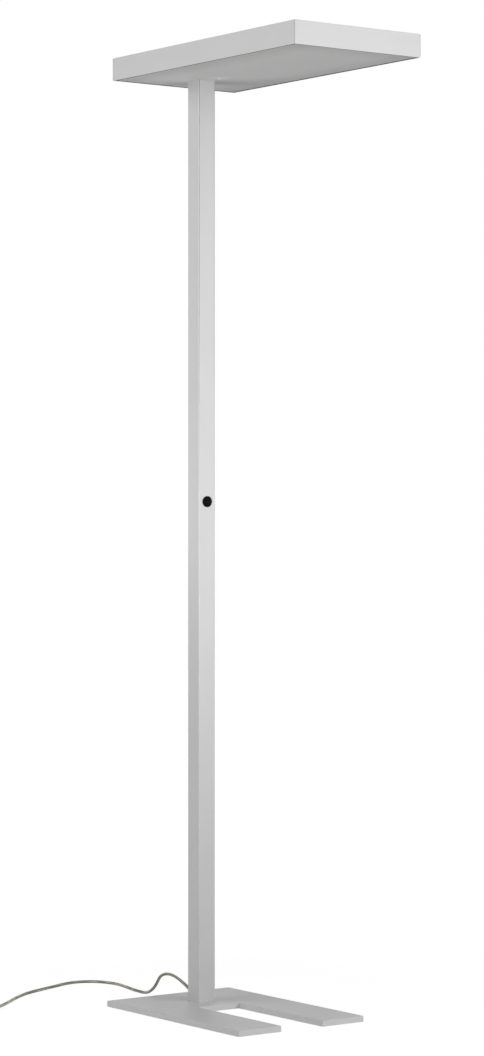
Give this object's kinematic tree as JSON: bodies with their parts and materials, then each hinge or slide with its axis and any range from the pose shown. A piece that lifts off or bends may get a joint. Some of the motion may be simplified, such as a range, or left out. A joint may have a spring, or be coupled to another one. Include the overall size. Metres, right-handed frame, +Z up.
{
  "type": "floor lamp",
  "caption": "Office floor lamp with a flat rectangular light head on a square column, a forked steel foot, a push button and a clear mains cord.",
  "frame": {"origin": "on the floor, under the axis of the square column", "axes": "+Z up, +X the way the head and the foot's prongs reach, +Y to the left of that"},
  "size_m": [0.9445, 0.6385, 1.95],
  "materials": {
    "silver_coated_steel": "satin",
    "silver_aluminium": "satin",
    "raw_aluminium": "satin",
    "zinc_steel": "satin",
    "black_rubber": "matte",
    "black_plastic": "satin",
    "dark_plastic": "satin",
    "white_plastic": "satin",
    "opal_panel": "satin",
    "clear_panel": "gloss",
    "sensor_lens": "satin",
    "led_board": "satin",
    "lead_insulation": "satin",
    "clear_pvc": "satin",
    "strap_fabric": "matte",
    "plug_plastic": "satin",
    "plated_brass": "satin"
  },
  "bodies": {
    "lamp": {"foot_plate": "silver_coated_steel", "foot_pad": "black_rubber", "foot_screws": "zinc_steel", "column": "silver_aluminium", "cord_outlet": "black_rubber", "mains_riser": "clear_pvc", "signal_cable": "black_plastic", "button_ring": "black_plastic", "button_spring": "zinc_steel", "switch_module": "dark_plastic", "frame_front": "silver_aluminium", "frame_rear": "silver_aluminium", "frame_left": "silver_aluminium", "frame_right": "silver_aluminium", "corner_keys": "zinc_steel", "heat_sink": "raw_aluminium", "heat_sink_screws": "zinc_steel", "mounting_plate": "zinc_steel", "mounting_screws": "zinc_steel", "column_screws": "zinc_steel", "cable_grommet": "black_rubber", "terminal_block": "white_plastic", "mains_leads": "lead_insulation", "driver_leads": "lead_insulation", "led_driver": "white_plastic", "driver_screws": "zinc_steel", "led_leads": "lead_insulation", "led_strips_down": "led_board", "led_strips_up": "led_board", "diffuser": "opal_panel", "diffuser_seal": "black_rubber", "diffuser_clips": "zinc_steel", "sensor_module": "white_plastic", "sensor_lens": "sensor_lens", "top_cover": "clear_panel", "mains_cord": "clear_pvc", "cord_coil": "clear_pvc", "cord_strap": "strap_fabric", "plug_body": "plug_plastic", "plug_pins": "plated_brass", "plug_earth_clips": "plated_brass"},
    "button": {"button_cap": "dark_plastic"}
  },
  "joints": [
    {"name": "button_press", "type": "slide", "parent": "lamp", "child": "button", "axis": [-1, 0, 0], "range_m": [0, 0.0015], "stiffness_N_per_m": 800, "springref_m": -0.002, "deforming": ["button_spring"]}
  ]
}
